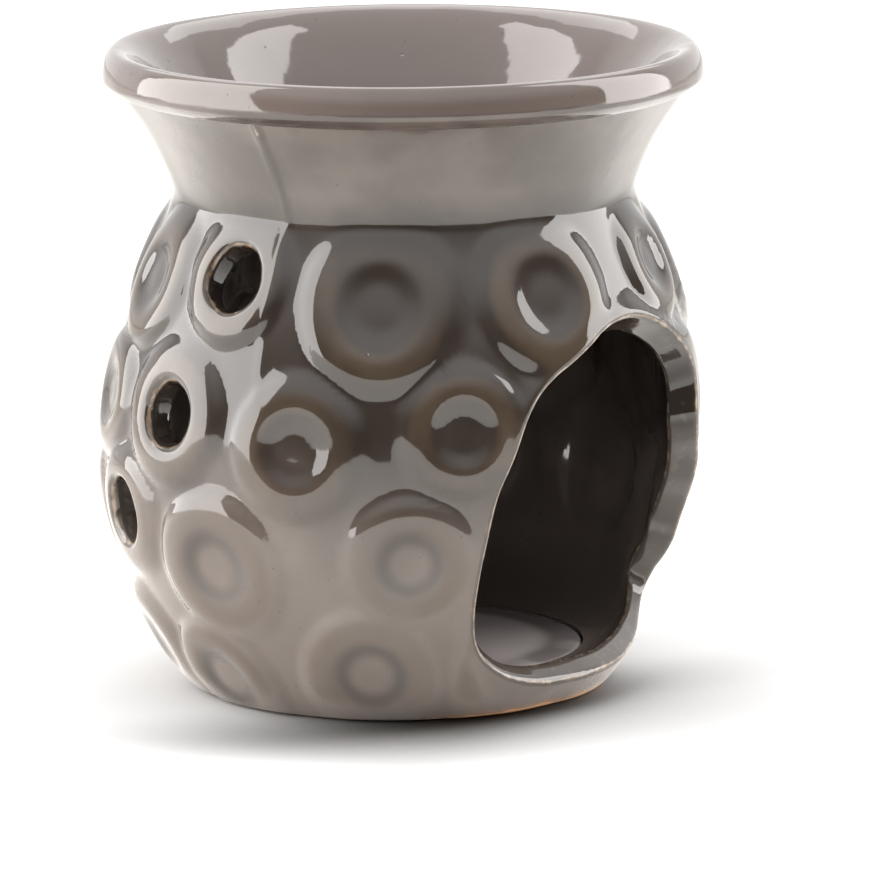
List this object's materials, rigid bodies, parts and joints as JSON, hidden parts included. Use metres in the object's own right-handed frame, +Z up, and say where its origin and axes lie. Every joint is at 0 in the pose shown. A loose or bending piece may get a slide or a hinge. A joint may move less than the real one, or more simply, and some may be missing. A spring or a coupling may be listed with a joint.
{
  "type": "oil burner",
  "caption": "Round glazed earthenware oil burner with a wall of cratered mounds, pierced air vents, an egg-shaped doorway for a tealight, a flared collar and a rolled-lip oil dish.",
  "frame": {"origin": "centre of the foot ring, on the surface that the burner stands on", "axes": "+Z up along the pot's axis; the doorway's axis points to -Y; +X is to the right seen from the front"},
  "size_m": [0.1111, 0.1115, 0.1188],
  "materials": {
    "body_glaze": "glossy warm grey glaze, tan where it runs thin over edges",
    "dish_glaze": "glossy warm grey glaze with fine specks",
    "floor_glaze": "pale grey thin glaze, less glossy"
  },
  "bodies": {
    "root": {"burner_body": "body_glaze", "oil_dish": "dish_glaze", "chamber_floor": "floor_glaze"}
  },
  "joints": []
}
